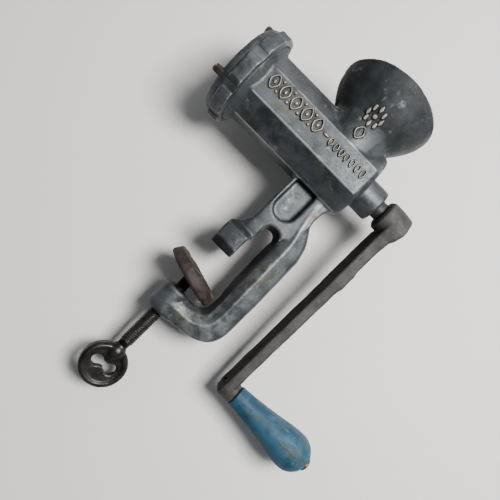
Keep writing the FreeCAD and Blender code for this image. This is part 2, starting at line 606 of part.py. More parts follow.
knob = lathe_x("crank_knob", [
    (cx - 1.2, 0.0), (cx - 1.2, S("knob_rad") - 1.0), (cx - 0.2, S("knob_rad")),
    (S("knob_end") - 0.7, S("knob_rad")), (S("knob_end"), S("knob_rad") - 0.7), (S("knob_end"), 0.0)], AXIS - S("crank_radius"))
crank_solid = fuse("crank_solid", [bar, hub, knob])
crank_tools = fuse("crank_tools", [
    block("crank_square", (S("hub_start") - 1.0, -sq, AXIS - sq), (S("square_end"), sq, AXIS + sq)),
    cylinder("crank_pilot", S("shank_rad"), S("hub_start") - 1.0, S("hub_start") + 0.2, "x", (0, AXIS)),
    cylinder("spindle_seat", S("spindle_rad"), 60.0, 90.0, "x", (0, AXIS - S("crank_radius"))),
    cylinder("spindle_sink", S("spindle_rad") + 1.4, 60.0, cx + 0.2, "x", (0, AXIS - S("crank_radius"))),
    cylinder("set_screw_hole", 2.5, sq - 1.0, S("hub_rad") + 3.0, "y", (S("hub_start") + 6.0, AXIS))])
crank_arm = cut("crank_arm", crank_solid, crank_tools)
set_blank = cylinder("set_screw_blank", 2.5, sq, S("hub_rad") - 0.6, "y", (S("hub_start") + 6.0, AXIS))
set_slot = block("set_screw_slot", (S("hub_start") + 5.6, S("hub_rad") - 1.7, AXIS - 4.0),
                 (S("hub_start") + 6.4, S("hub_rad") + 2.0, AXIS + 4.0))
crank_set_screw = cut("crank_set_screw", set_blank, set_slot)

# ------------------------------------------------------------------ grip
GRIP_Z = AXIS - S("crank_radius")
g0, g1 = S("grip_start").number, S("grip_end").number
span = g1 - g0
GRIP = [(0.0, 7.0), (0.012, 7.9), (0.2, 9.0), (0.36, 10.3), (0.52, 12.0), (0.66, 13.6), (0.78, 14.35), (0.86, 13.9),
        (0.92, 12.0), (0.965, 9.2), (0.988, 7.2), (1.0, 5.2)]
pts = [V(g0 + t * span, r, 0) for t, r in GRIP]
curve = Part.BSplineCurve()
curve.interpolate(pts[1:])
edges = [Part.LineSegment(V(g0, S("grip_bore").number, 0), pts[0]).toShape(), Part.LineSegment(pts[0], pts[1]).toShape(),
         curve.toShape(), Part.LineSegment(pts[-1], V(g1, S("grip_bore").number, 0)).toShape(),
         Part.LineSegment(V(g1, S("grip_bore").number, 0), V(g0, S("grip_bore").number, 0)).toShape()]
grip_shape = Part.Face(Part.Wire(edges)).revolve(V(0, 0, 0), V(1, 0, 0), 360)
wooden_grip = feature("wooden_grip", grip_shape)
wooden_grip.Placement = FreeCAD.Placement(V(0, 0, axis_z - radius), FreeCAD.Rotation())

grip_washer = cut("grip_washer",
                  cylinder("grip_washer_disc", 4.9, S("grip_end") + 0.15, S("grip_end") + 1.35, "x", (0, GRIP_Z)),
                  cylinder("grip_washer_hole", S("spindle_rad"), S("grip_end") - 1.0, S("grip_end") + 3.0, "x", (0, GRIP_Z)))
grip_spindle = lathe_x("grip_spindle", [
    (cx - 1.2, 0.0), (cx - 1.2, S("spindle_rad") + 1.4), (cx + 0.2, S("spindle_rad") + 1.4), (cx + 0.2, S("spindle_rad")),
    (S("grip_end") + 1.35, S("spindle_rad")), (S("grip_end") + 1.35, S("spindle_rad") + 1.0),
    (S("grip_end") + 2.2, S("spindle_rad") + 0.6), (S("grip_end") + 2.9, S("spindle_rad") - 0.9), (S("grip_end") + 3.1, 0.0)], GRIP_Z)

# ------------------------------------------------------------------ clamp screw
tr, rr, tp = S("thread_rad").number, S("thread_root").number, S("thread_pitch").number
t_top, t_low = S("thread_top").number, S("thread_low").number
thread_core = cylinder("thread_core", S("thread_root"), S("thread_low") - 1.0, S("pad_height") - 3.5, "z")
thread_neck = cylinder("thread_neck", S("thread_root"), S("thread_low") - 4.0, S("thread_low") + 1.0, "z")
helix = Part.makeHelix(tp, t_top - t_low, rr)
ridge = Part.makePolygon([V(rr - 0.25, 0, -0.62), V(tr, 0, -0.12), V(tr, 0, 0.12), V(rr - 0.25, 0, 0.62), V(rr - 0.25, 0, -0.62)])
thread = Part.Wire(helix.Edges).makePipeShell([ridge], True, True)
thread.translate(V(0, 0, t_low))
screw_core = Part.makeCylinder(rr, (S("pad_height").number - 3.3) - (t_low - 6.0), V(0, 0, t_low - 6.0))
threaded = screw_core.fuse(thread)
screw_rod = feature("screw_rod", threaded)

head_z = S("head_height")
head_turn = FreeCAD.Rotation(V(0, 0, 1), 20.0)
disc = part_body("head_disc")
hh, hd = S("head_half"), S("head_rad")
sk = outline(disc, "head_outline", "XZ_Plane", [
    (0.0, -hh + 1.3), (hd - 4.6, -hh + 1.3), (hd - 3.6, -hh), (hd - 1.6, -hh), (hd, -hh + 1.6), (hd, hh - 1.6),
    (hd - 1.6, hh), (hd - 3.6, hh), (hd - 4.6, hh - 1.3), (0.0, hh - 1.3)])
turned(disc, "head_turned", sk, "Z_Axis")
place(disc, (0, 0, head_z), FreeCAD.Rotation(V(1, 0, 0), 90))
neck_cone = Part.makeLoft([
    Part.Wire([Part.Circle(V(0, 0, z), V(0, 0, 1), r).toShape()]) for z, r in
    ((t_low + 1.0, rr), (t_low - 4.0, rr + 0.2), (-100.0, 6.2), (-104.5, 6.0), (-110.5, 4.2))], True, False)
screw_neck = feature("screw_neck", neck_cone)
slot_parts = [
    cylinder("slot_lobe_left", 4.5, -8.0, 8.0, "y", (-5.6, head_z + 0.4)),
    cylinder("slot_lobe_right", 4.5, -8.0, 8.0, "y", (5.6, head_z + 0.4)),
    block("slot_waist", (-6.0, -8.0, head_z - 1.9), (6.0, 8.0, head_z + 2.7))]
head_solid = fuse("head_solid", [disc, screw_neck])
head_cut = cut("head_cut", head_solid, fuse("head_slot", slot_parts))
clamp_solid = fuse("clamp_solid", [screw_rod, head_cut])
rivet_hole = cylinder("rivet_hole", 2.4, S("pad_height") - 14.0, S("pad_height"), "z")
clamp_screw = cut("clamp_screw", clamp_solid, rivet_hole)
clamp_screw.Placement = FreeCAD.Placement(V(0, 0, 0), head_turn)

# The pad's rivet is fixed in the drilled end of the screw; the pad hangs loose between the
# screw's shoulder and the rivet's head, so it can lean.
pad_rivet = lathe_z("pad_rivet", [
    (0.0, -13.0), (2.34, -13.0), (2.34, 3.7), (6.6, 3.7), (6.2, 4.6), (4.2, 5.5), (0.0, 5.8)], S("pad_height"))

pad_body = part_body("swivel_pad")
pr = S("pad_rad")
sk = outline(pad_body, "pad_outline", "XZ_Plane", [
    (3.7, -1.6), (7.0, -1.6), (11.0, -2.6), (pr - 2.6, -3.0), (pr - 0.7, -2.2), (pr, -0.6), (pr - 0.5, 2.4), (pr - 1.6, 5.2),
    (pr - 2.9, 6.0), (pr - 5.4, 6.0), (pr - 7.4, 4.2), (12.0, 1.8), (3.7, 1.6)])
turned(pad_body, "pad_turned", sk, "Z_Axis")
place(pad_body, (0, 0, S("pad_height")), FreeCAD.Rotation(V(0, 1, 0), S("pad_tilt").number))
swivel_pad = pad_body

NODES = {
    "body_casting": body_casting, "ring_nut": ring_nut, "cutting_plate": cutting_plate,
    "plate_peg": plate_peg, "cross_knife": cross_knife, "knife_stud": knife_stud,
    "feed_screw": feed_screw, "thrust_washer": thrust_washer, "crank_arm": crank_arm,
    "crank_set_screw": crank_set_screw, "wooden_grip": wooden_grip, "grip_washer": grip_washer,
    "grip_spindle": grip_spindle, "clamp_screw": clamp_screw, "pad_rivet": pad_rivet,
    "swivel_pad": swivel_pad,
}
for label, obj in NODES.items():
    obj.Label = label
doc.recompute()

bad = [o.Name for o in doc.Objects if "Invalid" in o.State or "Error" in o.State]
if bad:
    raise SystemExit("failed objects: %s" % ", ".join(bad))
os.makedirs("parts", exist_ok=True)
for label, obj in NODES.items():
    shape = obj.Shape
    if shape.isNull() or not shape.isValid() or not shape.Solids:
        raise SystemExit("bad shape: %s" % label)
    box = shape.BoundBox
    print("%-16s solids %d  volume %9.1f  x %.1f..%.1f  y %.1f..%.1f  z %.1f..%.1f" % (
        label, len(shape.Solids), shape.Volume, box.XMin, box.XMax, box.YMin, box.YMax, box.ZMin, box.ZMax))
    shape.exportStep("parts/%s.step" % label)
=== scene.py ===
import math

import bpy
import bmesh
import numpy as np
from mathutils import Matrix, Vector, noise
from mathutils.bvhtree import BVHTree
from mathutils.kdtree import KDTree


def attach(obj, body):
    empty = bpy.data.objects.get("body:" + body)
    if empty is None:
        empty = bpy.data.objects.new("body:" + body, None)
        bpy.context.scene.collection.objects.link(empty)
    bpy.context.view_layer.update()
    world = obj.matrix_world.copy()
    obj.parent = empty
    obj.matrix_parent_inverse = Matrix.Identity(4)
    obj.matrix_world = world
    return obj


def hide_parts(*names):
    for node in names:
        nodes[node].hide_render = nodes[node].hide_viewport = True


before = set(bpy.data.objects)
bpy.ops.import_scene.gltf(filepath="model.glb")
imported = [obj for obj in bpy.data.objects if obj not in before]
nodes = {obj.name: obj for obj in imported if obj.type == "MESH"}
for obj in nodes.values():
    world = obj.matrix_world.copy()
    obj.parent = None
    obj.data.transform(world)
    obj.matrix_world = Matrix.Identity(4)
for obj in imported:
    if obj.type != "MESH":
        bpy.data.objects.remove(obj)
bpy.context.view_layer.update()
scene = bpy.context.scene

# ------------------------------------------------------------------ camera
turn, rise, roll, span, dist = (math.radians(-1.264), math.radians(-1.995), math.radians(-0.08), 541.0, 0.384)
slant = math.radians(45.3)
back = Vector((math.sin(turn) * math.cos(rise), -math.cos(turn) * math.cos(rise), math.sin(rise)))
side = Vector((math.cos(turn), math.sin(turn), 0.0))
above = back.cross(side)
eu = side * math.cos(roll) - above * math.sin(roll)
ev = side * math.sin(roll) + above * math.cos(roll)
right = eu * math.cos(slant) + ev * math.sin(slant)
up = -eu * math.sin(slant) + ev * math.cos(slant)
eye = Vector((0.0156, 0.0, 0.01425)) + back * dist
camera = bpy.data.objects.new("camera", bpy.data.cameras.new("camera"))
scene.collection.objects.link(camera)
m = Matrix.Identity(4)
for i in range(3):
    m[i][0], m[i][1], m[i][2], m[i][3] = right[i], up[i], back[i], eye[i]
camera.matrix_world = m
camera.data.sensor_width = 36.0
camera.data.lens = 36.0 * span / 500.0
camera.data.clip_start = 0.01
scene.camera = camera


# ------------------------------------------------------------------ mesh tools
def new_object(name, verts, faces, smooth=True):
    me = bpy.data.meshes.new(name)
    me.from_pydata([tuple(v) for v in verts], [], [tuple(f) for f in faces])
    me.update()
    if smooth:
        me.shade_smooth()
    o = bpy.data.objects.new(name, me)
    scene.collection.objects.link(o)
    return o


def copy_of(node, name):
    o = bpy.data.objects.new(name, nodes[node].data.copy())
    o.data.materials.clear()
    scene.collection.objects.link(o)
    return o


def applied(o):
    """The object's mesh with its modifiers, put in place of its own."""
    dg = bpy.context.evaluated_depsgraph_get()
    dg.update()
    me = bpy.data.meshes.new_from_object(o.evaluated_get(dg))
    old = o.data
    o.modifiers.clear()
    o.data = me
    me.name = o.name
    bpy.data.meshes.remove(old)
    return o


def voxel(o, size):
    mod = o.modifiers.new("remesh", "REMESH")
    mod.mode = "VOXEL"
    mod.voxel_size = size
    mod.adaptivity = 0.0
    return applied(o)


def decimate(o, ratio):
    mod = o.modifiers.new("decimate", "DECIMATE")
    mod.ratio = ratio
    return applied(o)


def arrays(me):
    v = np.empty(len(me.vertices) * 3)
    me.vertices.foreach_get("co", v)
    e = np.empty(len(me.edges) * 2, dtype=np.int64)
    me.edges.foreach_get("vertices", e)
    return v.reshape(-1, 3), e.reshape(-1, 2)


def spread(values, edges, count, degree):
    """The mean of each vertex's neighbours."""
    out = np.empty_like(values)
    for k in range(values.shape[1]):
        c = values[:, k]
        out[:, k] = np.bincount(edges[:, 0], c[edges[:, 1]], count) + np.bincount(edges[:, 1], c[edges[:, 0]], count)
    return out / degree[:, None]


def relax(o, plain, keep, hold=None):
    """Softens corners as a casting's are: plain rounds of averaging, then rounds that keep volume."""
    v, e = arrays(o.data)
    n = len(v)
    degree = np.maximum(np.bincount(e.ravel(), minlength=n), 1).astype(float)
    weight = np.ones((n, 1)) if hold is None else hold(v)[:, None]
    for _ in range(plain):
        v = v + 0.5 * weight * (spread(v, e, n, degree) - v)
    for _ in range(keep):
        v = v + 0.5 * weight * (spread(v, e, n, degree) - v)
        v = v - 0.53 * weight * (spread(v, e, n, degree) - v)
    o.data.vertices.foreach_set("co", v.ravel())
    o.data.update()
    return o


def normals_of(me):
    out = np.empty(len(me.vertices) * 3)
    me.vertices.foreach_get("normal", out)
    return out.reshape(-1, 3)


def wave(points, scale, seed):
    """Smooth noise about zero at each point."""
    off = Vector((seed * 3.17, seed * 1.31, seed * 7.7))
    return np.array([noise.noise(Vector(p) * scale + off) for p in points])


def swell(o, amount, scale, seed, hold=None):
    """Moves the surface in and out a little, as sand casting leaves it."""
    v, _ = arrays(o.data)
    w = wave(v, scale, seed) + 0.5 * wave(v, scale * 2.3, seed + 5)
    if hold is not None:
        w = w * hold(v)
    v = v + normals_of(o.data) * (w * amount)[:, None]
    o.data.vertices.foreach_set("co", v.ravel())
    o.data.update()


def snap_round(v, axis, centre, radius, low, high, band=0.0006):
    """Puts vertices near a turned surface back on it exactly. axis is 0 for X and 2 for Z."""
    others = [k for k in (0, 1, 2) if k != axis]
    d = v[:, others] - np.array(centre)
    r = np.hypot(d[:, 0], d[:, 1])
    near = (np.abs(r - radius) < band) & (v[:, axis] > low) & (v[:, axis] < high)
    f = np.where(near, radius / np.maximum(r, 1e-9), 1.0)
    v[:, others] = np.array(centre) + d * f[:, None]
    return v


def masks(o, rays=10, reach=0.02, far=True):
    """Point attributes: a worn-edge mask on outward corners, and a mask of soiling with painted shade in corners and
    painted shade where little of the sky is seen.
    """
    me = o.data
    v, e = arrays(me)
    n = len(v)
    degree = np.maximum(np.bincount(e.ravel(), minlength=n), 1).astype(float)
    nor = normals_of(me)
    length = np.linalg.norm(v[e[:, 0]] - v[e[:, 1]], axis=1)
    mean = (np.bincount(e[:, 0], length, n) + np.bincount(e[:, 1], length, n)) / degree
    bend = ((v - spread(v, e, n, degree)) * nor).sum(1) / np.maximum(mean, 1e-6) ** 2 * 0.001
    bend = bend[:, None]
    for _ in range(2):
        bend = 0.5 * bend + 0.5 * spread(bend, e, n, degree)
    bend = bend[:, 0]
    wear_and_highlight = np.clip(bend / 0.45, 0, 1)
    hollow = np.clip(-bend / 0.35, 0, 1)
    closed = np.zeros(n)
    if far:
        tree = BVHTree.FromPolygons([tuple(p) for p in v], [tuple(p.vertices) for p in me.polygons])
        rng = np.random.default_rng(7)
        dirs = rng.normal(size=(rays, 3))
        dirs /= np.linalg.norm(dirs, axis=1)[:, None]
        for i in range(n):
            nv = nor[i]
            hits = total = 0.0
            start = Vector(v[i] + nv * 0.0004)
            for d in dirs:
                c = d[0] * nv[0] + d[1] * nv[1] + d[2] * nv[2]
                if c < 0:
                    d, c = -d, -c
                total += c
                if c > 0.1:
                    h = tree.ray_cast(start, Vector(d), reach)
                    if h[0] is not None:
                        hits += c * (1.0 - h[3] / reach)
            closed[i] = hits / max(total, 1e-6)
        closed = closed[:, None]
        for _ in range(3):
            closed = 0.5 * closed + 0.5 * spread(closed, e, n, degree)
        closed = closed[:, 0]
    # The second mask is soiling and painted shade: hollows and occlusion darken the colour.
    for key, val in (("wear_and_highlight", wear_and_highlight), ("dirt_and_shade", np.clip(0.7 * hollow + 1.3 * closed, 0, 1))):
        a = me.attributes.get(key) or me.attributes.new(key, "FLOAT", "POINT")
        a.data.foreach_set("value", val.astype(np.float32))


def mark(o, key, values):
    """A point attribute of that name with these values."""
    a = o.data.attributes.get(key) or o.data.attributes.new(key, "FLOAT", "POINT")
    a.data.foreach_set("value", np.clip(values, 0, 1).astype(np.float32))


def read_mark(o, key):
    out = np.empty(len(o.data.vertices), dtype=np.float32)
    o.data.attributes[key].data.foreach_get("value", out)
    return out.astype(float)


def near_line(v, a, b, width):
    """1 on the line from a to b, falling off over width."""
    a, b = np.array(a), np.array(b)
    d = b - a
    t = np.clip(((v - a) @ d) / (d @ d), 0, 1)
    gap = np.linalg.norm(v - (a + t[:, None] * d), axis=1)
    return np.exp(-(gap / width) ** 2)


def join(main, extra):
    """Adds the meshes of other objects to main's."""
    verts, faces = [], []
    for o in [main] + extra:
        base = len(verts)
        verts += [tuple(v.co) for v in o.data.vertices]
        faces += [tuple(base + i for i in p.vertices) for p in o.data.polygons]
    me = bpy.data.meshes.new(main.name)
    me.from_pydata(verts, [], faces)
    me.update()
    me.shade_smooth()
    main.data = me
    for o in extra:
        bpy.data.objects.remove(o)
    return main


def take(o, node, body):
    """The object stands for the node and rides with its body."""
    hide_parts(node)
    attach(o, body)


# ------------------------------------------------------------------ materials
class Nodes:
    """Short names for building a material's nodes."""

    def __init__(self, name):
        self.m = bpy.data.materials.new(name)
        self.m.use_nodes = True
        self.t = self.m.node_tree
        self.shader = self.t.nodes["Principled BSDF"]
        self.space = self.t.nodes.new("ShaderNodeTexCoord").outputs["Object"]

    def link(self, a, b):
        self.t.links.new(a, b)

    def put(self, socket, value):
        if isinstance(value, bpy.types.NodeSocket):
            self.link(value, socket)
        else:
            socket.default_value = value

    def attr(self, name):
        n = self.t.nodes.new("ShaderNodeAttribute")
        n.attribute_name = name
        return n.outputs["Fac"]

    def stretched(self, scale):
        n = self.t.nodes.new("ShaderNodeMapping")
        n.inputs["Scale"].default_value = scale
        self.link(self.space, n.inputs["Vector"])
        return n.outputs[0]

    def noise(self, scale, detail=4.0, rough=0.55, twist=0.0, space=None):
        n = self.t.nodes.new("ShaderNodeTexNoise")
        n.inputs["Scale"].default_value = scale
        n.inputs["Detail"].default_value = detail
        n.inputs["Roughness"].default_value = rough
        n.inputs["Distortion"].default_value = twist
        self.link(space or self.space, n.inputs["Vector"])
        return n.outputs["Fac"]

    def cells(self, scale, space=None):
        n = self.t.nodes.new("ShaderNodeTexVoronoi")
        n.inputs["Scale"].default_value = scale
        self.link(space or self.space, n.inputs["Vector"])
        return n.outputs["Distance"]

    def steps(self, fac, low, high, a=0.0, b=1.0):
        n = self.t.nodes.new("ShaderNodeMapRange")
        n.interpolation_type = "SMOOTHSTEP"
        self.put(n.inputs["Value"], fac)
        n.inputs["From Min"].default_value = low
        n.inputs["From Max"].default_value = high
        n.inputs["To Min"].default_value = a
        n.inputs["To Max"].default_value = b
        return n.outputs["Result"]

    def math(self, op, a, b=0.0, clamp=False):
        n = self.t.nodes.new("ShaderNodeMath")
        n.operation = op
        n.use_clamp = clamp
        self.put(n.inputs[0], a)
        self.put(n.inputs[1], b)
        return n.outputs[0]

    def mix(self, fac, a, b):
        n = self.t.nodes.new("ShaderNodeMix")
        n.data_type = "RGBA"
        self.put(n.inputs["Factor"], fac)
        self.put(n.inputs["A"], (*a, 1.0) if isinstance(a, tuple) else a)
        self.put(n.inputs["B"], (*b, 1.0) if isinstance(b, tuple) else b)
        return n.outputs["Result"]

    def bump(self, height, strength, distance, under=None):
        n = self.t.nodes.new("ShaderNodeBump")
        n.inputs["Strength"].default_value = strength
        n.inputs["Distance"].default_value = distance
        self.link(height, n.inputs["Height"])
        if under is not None:
            self.link(under, n.inputs["Normal"])
        return n.outputs["Normal"]

    def end(self, colour, rough, metal, normal=None):
        self.put(self.shader.inputs["Base Color"], (*colour, 1.0) if isinstance(colour, tuple) else colour)
        self.put(self.shader.inputs["Roughness"], rough)
        self.put(self.shader.inputs["Metallic"], metal)
        if normal is not None:
            self.link(normal, self.shader.inputs["Normal"])
        return self.m


def cast_metal(name, dark, light, bright, olive, brown, rust=0.25, green=0.3, metal=0.8, rough=(0.36, 0.56),
               worn=0.8, grime_and_shade=0.85, seed=0.0, oily_from=None):
    """Worn tinned iron: mottled grey, painted shade where marked, soiling and painted shade in its corners, rubbed
    edges and painted highlights.
    """
    k = Nodes(name)
    if seed:
        mp = k.t.nodes.new("ShaderNodeMapping")
        mp.inputs["Location"].default_value = (seed, seed * 0.7, -seed)
        k.link(k.space, mp.inputs["Vector"])
        k.space = mp.outputs[0]
    big, mid, fine = k.noise(28.0, 5.0, 0.6, 0.4), k.noise(110.0, 5.0, 0.62, 0.3), k.noise(620.0, 3.0, 0.6)
    tone = k.math("ADD", k.math("MULTIPLY", big, 0.6), k.math("MULTIPLY", mid, 0.4))
    colour = k.mix(k.steps(tone, 0.39, 0.61), tuple(c * 0.88 for c in dark), tuple(c * 1.10 for c in light))
    g = k.math("MULTIPLY", k.steps(k.noise(41.0, 6.0, 0.65, 0.8), 0.54, 0.70), green, True)
    colour = k.mix(g, colour, olive)
    blots = k.noise(57.0, 7.0, 0.68, 1.1)
    b = k.math("MULTIPLY", k.steps(blots, 0.56, 0.74), rust * 2.0, True)
    b = k.math("MAXIMUM", b, k.steps(k.math("ADD", k.attr("rust"), k.math("MULTIPLY", k.math("SUBTRACT", blots, 0.5), 1.6)), 0.35, 0.75, 0.0, 0.9))
    colour = k.mix(b, colour, brown)
    specks = k.steps(fine, 0.60, 0.74)
    colour = k.mix(k.math("MULTIPLY", specks, 0.45), colour, tuple(c * 0.35 for c in dark))
    # Painted shade where marked darkens the colour.
    painted_shade = k.math("MULTIPLY", k.attr("painted_shade"), k.steps(tone, 0.30, 0.62, 1.0, 0.72), True)
    colour = k.mix(painted_shade, colour, tuple(c * 0.22 for c in light))
    wear_and_highlight, dirt_and_shade = k.attr("wear_and_highlight"), k.attr("dirt_and_shade")
    # Worn edges and the painted edge highlights lighten towards the bright colour.
    rub_and_highlight = k.math("MULTIPLY", k.steps(k.math("ADD", wear_and_highlight, k.math("MULTIPLY", mid, 0.5)), 0.50, 0.95), worn, True)
    scuff = k.math("MULTIPLY", k.steps(k.noise(75.0, 8.0, 0.75, 0.2), 0.57, 0.70), 0.40 * worn, True)
    shine = k.math("MAXIMUM", rub_and_highlight, scuff)
    colour = k.mix(shine, colour, bright)
    # Pale patches: worn spots and a stain, with painted highlights on the arm.
    pale = k.steps(k.math("ADD", k.attr("stain_and_highlight"), k.math("MULTIPLY", k.math("SUBTRACT", k.noise(260.0, 6.0, 0.7, 0.6), 0.5), 1.5)), 0.30, 0.72, 0.0, 0.85)
    colour = k.mix(pale, colour, k.mix(k.steps(mid, 0.42, 0.60), (0.10, 0.14, 0.105), (0.30, 0.35, 0.345)))
    if oily_from is not None:
        xyz = k.t.nodes.new("ShaderNodeSeparateXYZ")
        k.link(k.t.nodes["Texture Coordinate"].outputs["Object"], xyz.inputs[0])
        dirt_and_shade = k.math("ADD", dirt_and_shade, k.steps(xyz.outputs["X"], oily_from, oily_from + 0.0006, 0.0, 0.75))
    # A brass tone, with painted golden glints, where marked.
    colour = k.mix(k.math("MULTIPLY", k.attr("brass_and_glint"), k.steps(k.noise(330.0, 6.0, 0.7, 0.5), 0.44, 0.58), True), colour, (0.215, 0.180, 0.120))
    # Soiling and painted shade darken the colour towards near black.
    soil_and_shade = k.math("MULTIPLY", k.steps(k.math("ADD", dirt_and_shade, k.math("MULTIPLY", k.math("SUBTRACT", mid, 0.5), 0.6)), 0.18, 0.80),
                  grime_and_shade, True)
    colour = k.mix(soil_and_shade, colour, (0.020, 0.018, 0.016))
    r = k.steps(k.math("ADD", k.math("MULTIPLY", mid, 0.6), k.math("MULTIPLY", fine, 0.4)), 0.35, 0.65, rough[0], rough[1])
    r = k.math("SUBTRACT", r, k.math("MULTIPLY", shine, 0.10))
    r = k.math("ADD", r, k.math("MULTIPLY", k.math("ADD", k.math("ADD", soil_and_shade, b), painted_shade), 0.18), True)
    mt = k.math("MULTIPLY", k.math("SUBTRACT", 1.0, k.math("MAXIMUM", k.math("MAXIMUM", soil_and_shade, b), painted_shade)), metal, True)
    k.put(k.shader.inputs["Specular IOR Level"], k.math("SUBTRACT", 0.5, k.math("MULTIPLY", painted_shade, 0.34)))
    pits = k.steps(k.cells(520.0), 0.05, 0.28)
    grain = k.noise(900.0, 4.0, 0.7)
    nrm = k.bump(k.math("ADD", grain, k.math("MULTIPLY", mid, 1.2)), 0.30, 0.0004)
    nrm = k.bump(pits, 0.12, 0.0003, nrm)
    return k.end(colour, r, mt, nrm)


def steel(name, low, high, rough=(0.3, 0.5), metal=0.9, stain=(0.10, 0.06, 0.035), stains=0.35, stretch=(1, 1, 1)):
    """Bare steel: turned or ground, dulled, with brown stains."""
    k = Nodes(name)
    lines = k.noise(500.0, 3.0, 0.6, 0.0, k.stretched(stretch))
    big = k.noise(70.0, 5.0, 0.6, 0.4)
    colour = k.mix(k.steps(k.math("ADD", k.math("MULTIPLY", big, 0.6), k.math("MULTIPLY", lines, 0.4)), 0.35, 0.65), low, high)
    s = k.math("MULTIPLY", k.steps(k.noise(95.0, 7.0, 0.7, 0.9), 0.53, 0.70), stains, True)
    colour = k.mix(s, colour, stain)
    r = k.steps(lines, 0.3, 0.7, rough[0], rough[1])
    r = k.math("ADD", r, k.math("MULTIPLY", s, 0.25), True)
    nrm = k.bump(k.math("ADD", lines, k.math("MULTIPLY", big, 0.8)), 0.22, 0.0002)
    return k.end(colour, r, k.math("MULTIPLY", k.math("SUBTRACT", 1.0, s), metal, True), nrm)


def painted(name):
    """Blue paint on turned wood: faded, chipped to an older olive coat and to bare brown wood."""
    k = Nodes(name)
    along = k.stretched((0.35, 1.0, 1.0))
    big, mid, fine = k.noise(60.0, 6.0, 0.65, 0.5), k.noise(190.0, 5.0, 0.65, 0.3, along), k.noise(900.0, 3.0, 0.6)
    blue = k.mix(k.steps(big, 0.38, 0.62), (0.018, 0.058, 0.094), (0.036, 0.100, 0.150))
    blue = k.mix(k.steps(mid, 0.56, 0.74), blue, (0.078, 0.160, 0.215))
    blue = k.mix(k.math("MULTIPLY", k.steps(fine, 0.58, 0.7), 0.5), blue, (0.012, 0.036, 0.06))
    worn = k.math("ADD", k.noise(78.0, 8.0, 0.72, 0.9, along), k.math("MULTIPLY", k.attr("wear_and_highlight"), 0.22))
    olive = k.mix(k.steps(mid, 0.4, 0.6), (0.052, 0.062, 0.030), (0.105, 0.108, 0.055))
    colour = k.mix(k.steps(worn, 0.53, 0.62, 0.0, 0.85), blue, olive)
    ring = k.noise(420.0, 4.0, 0.6, 0.0, k.stretched((0.12, 1.0, 1.0)))
    wood = k.mix(k.steps(ring, 0.4, 0.6), (0.040, 0.022, 0.012), (0.085, 0.050, 0.028))
    colour = k.mix(k.steps(worn, 0.68, 0.72), colour, wood)
    # Soiling and painted shade darken the paint where that mask is set.
    colour = k.mix(k.math("MULTIPLY", k.attr("dirt_and_shade"), 0.8, True), colour, (0.02, 0.02, 0.018))
    depth = k.steps(worn, 0.53, 0.66, 1.0, 0.0)
    r = k.steps(k.math("ADD", k.math("MULTIPLY", depth, -0.3), k.math("MULTIPLY", mid, 0.6)), 0.0, 0.4, 0.58, 0.78)
    nrm = k.bump(depth, 0.5, 0.0003)
    nrm = k.bump(k.math("ADD", mid, k.math("MULTIPLY", ring, 0.6)), 0.20, 0.0003, nrm)
    k.shader.inputs["Specular IOR Level"].default_value = 0.35
    return k.end(colour, r, 0.0, nrm)


casting_m = cast_metal("worn_tinned_casting", (0.050, 0.057, 0.063), (0.092, 0.101, 0.109), (0.36, 0.375, 0.375),
                       (0.056, 0.064, 0.040), (0.044, 0.032, 0.022), rust=0.20, green=0.55, metal=0.45)
ring_m = cast_metal("worn_ring", (0.064, 0.069, 0.074), (0.110, 0.117, 0.123), (0.30, 0.305, 0.30),
                    (0.036, 0.038, 0.028), (0.024, 0.017, 0.013), rust=0.22, green=0.3, metal=0.45, rough=(0.40, 0.60), seed=0.31)
screw_m = cast_metal("tinned_feed_screw", (0.085, 0.088, 0.090), (0.17, 0.173, 0.175), (0.4, 0.4, 0.39),
                     (0.10, 0.10, 0.07), (0.08, 0.055, 0.035), rust=0.2, green=0.2, seed=0.57, oily_from=0.0560)
crank_m = cast_metal("dark_crank_iron", (0.036, 0.0348, 0.0335), (0.066, 0.064, 0.062), (0.15, 0.147, 0.142),
                     (0.030, 0.027, 0.020), (0.034, 0.022, 0.015), rust=0.30, green=0.2, metal=0.2, rough=(0.55, 0.74),
                     worn=0.55, seed=0.83)
pad_m = cast_metal("rusty_pad_iron", (0.034, 0.026, 0.024), (0.066, 0.048, 0.042), (0.17, 0.13, 0.105),
                   (0.115, 0.066, 0.040), (0.055, 0.028, 0.017), rust=0.5, green=0.7, metal=0.3, rough=(0.55, 0.8),
                   worn=0.5, grime_and_shade=0.6, seed=1.21)
dark_m = cast_metal("oily_dark_steel", (0.026, 0.025, 0.0245), (0.050, 0.048, 0.047), (0.17, 0.165, 0.16),
                    (0.026, 0.023, 0.018), (0.030, 0.019, 0.013), rust=0.25, green=0.2, metal=0.7, rough=(0.30, 0.50),
                    worn=0.6, seed=1.67)
bare_m = steel("bare_steel", (0.16, 0.155, 0.15), (0.30, 0.295, 0.285))
plate_m = steel("ground_plate_steel", (0.20, 0.20, 0.198), (0.36, 0.36, 0.355), stretch=(1, 0.2, 1))
spindle_m = steel("spindle_steel", (0.070, 0.058, 0.048), (0.14, 0.12, 0.10), rough=(0.4, 0.6), metal=0.7)
paint_m = painted("worn_blue_paint")


def dress(o, material):
    o.data.materials.clear()
    o.data.materials.append(material)


def dress_node(name, material):
    o = nodes[name]
    for s in o.material_slots:
        s.material = material
    if not o.material_slots:
        o.data.materials.append(material)


# ------------------------------------------------------------------ body casting
AXIS = 0.100
FINE = 0.0008


def body_hold(v):
    """A weight for each vertex: 0 below z = -0.5, 1 elsewhere."""
    return np.where(v[:, 2] < -0.5, 0.0, 1.0)


